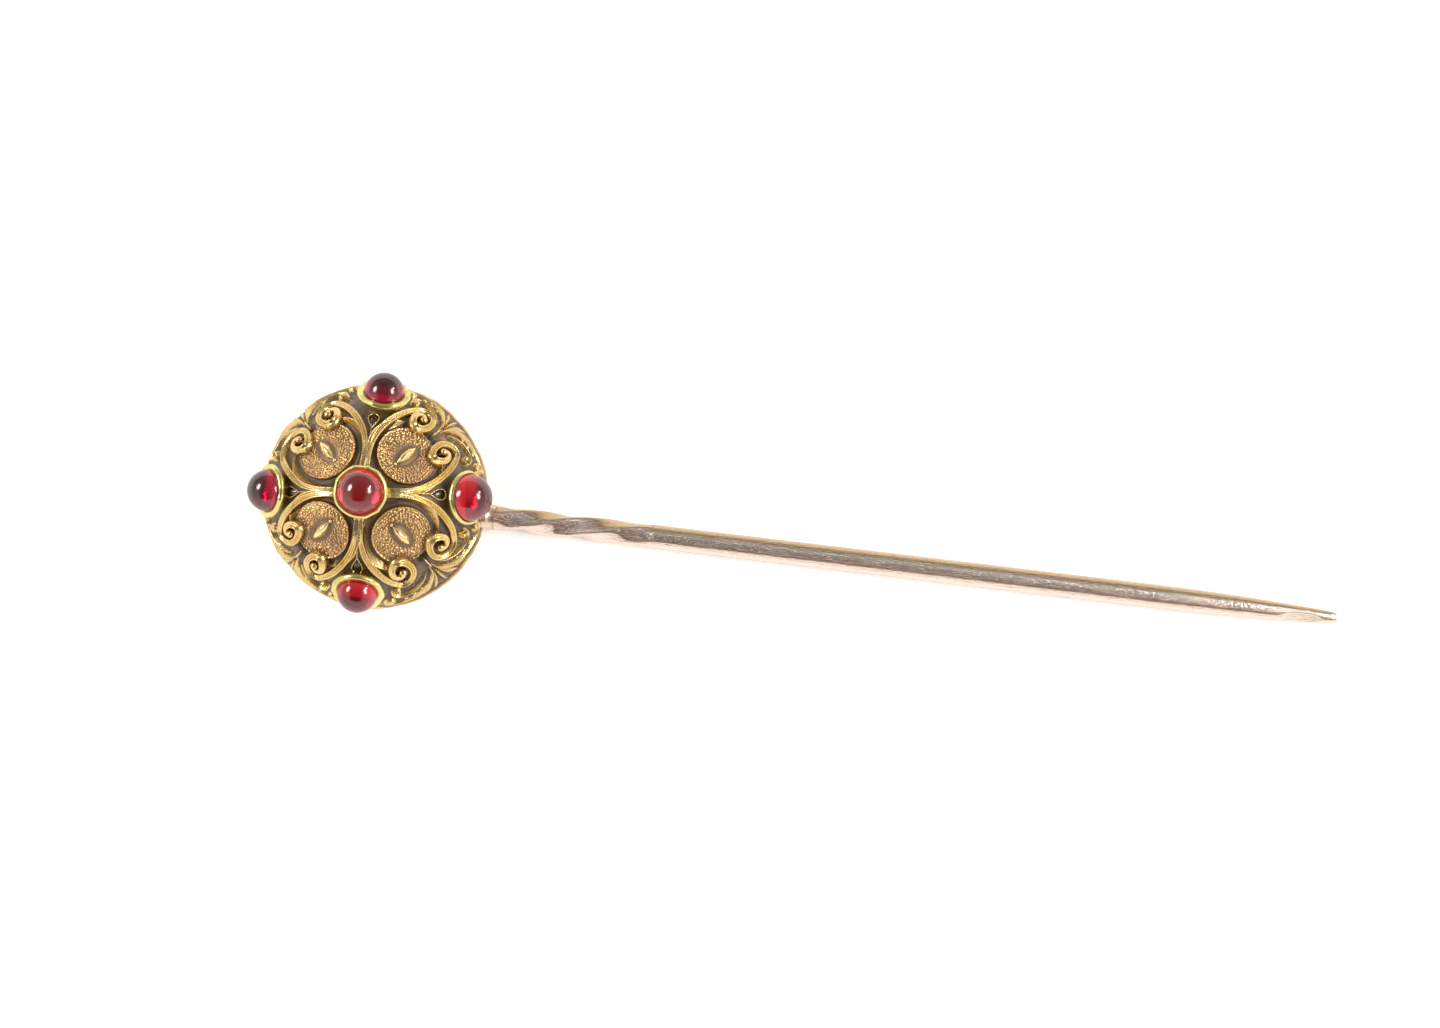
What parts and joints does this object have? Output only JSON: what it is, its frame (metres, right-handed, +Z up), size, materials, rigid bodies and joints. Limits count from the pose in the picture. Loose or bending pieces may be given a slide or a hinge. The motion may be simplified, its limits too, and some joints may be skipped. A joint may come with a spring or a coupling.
{
  "type": "stick pin",
  "caption": "Stick pin with a domed, scroll-decorated gold head, round red cabochons in collets and a straight stem that is twisted beside the head and tapers to a blunt point.",
  "frame": {"origin": "centre of the head's flat rim, on the plane that the rim and the stem rest on", "axes": "+Z up through the middle of the dome, +X along the stem towards its point"},
  "size_m": [0.061, 0.0134, 0.0081],
  "materials": {
    "head_gold": "aged gold, stippled, dark in its hollows",
    "rim_gold": "worn gold",
    "plate_gold": "satin gold",
    "solder": "satin gold solder",
    "stem_gold": "polished rose gold with fine scratches",
    "collet_gold": "polished, hammered yellow gold",
    "foil": "bright tinted foil",
    "garnet": "polished deep red cabochon",
    "scroll_gold": "gold, bright on its crests and dark at its feet",
    "dark_gold": "darkened gold"
  },
  "bodies": {
    "root": {"head_shell": "head_gold", "rim_ring": "rim_gold", "back_plate": "plate_gold", "stem_saddle": "plate_gold", "stem_solder": "solder", "pin_stem": "stem_gold", "collet_centre": "collet_gold", "collet_right": "collet_gold", "collet_upper": "collet_gold", "collet_left": "collet_gold", "collet_lower": "collet_gold", "foil_centre": "foil", "foil_right": "foil", "foil_upper": "foil", "foil_left": "foil", "foil_lower": "foil", "garnet_centre": "garnet", "garnet_right": "garnet", "garnet_upper": "garnet", "garnet_left": "garnet", "garnet_lower": "garnet", "petal_wire_upper_right": "scroll_gold", "petal_wire_upper_left": "scroll_gold", "petal_wire_lower_left": "scroll_gold", "petal_wire_lower_right": "scroll_gold", "navette_upper_right": "scroll_gold", "navette_upper_left": "scroll_gold", "navette_lower_left": "scroll_gold", "navette_lower_right": "scroll_gold", "scallop_wire_upper_right": "scroll_gold", "scallop_wire_upper_left": "scroll_gold", "scallop_wire_lower_left": "scroll_gold", "scallop_wire_lower_right": "scroll_gold", "palmette_upper_right": "scroll_gold", "palmette_upper_left": "scroll_gold", "palmette_lower_left": "scroll_gold", "palmette_lower_right": "scroll_gold", "drop_bead_right": "dark_gold", "drop_bead_upper": "dark_gold", "drop_bead_left": "dark_gold", "drop_bead_lower": "dark_gold"}
  },
  "joints": []
}
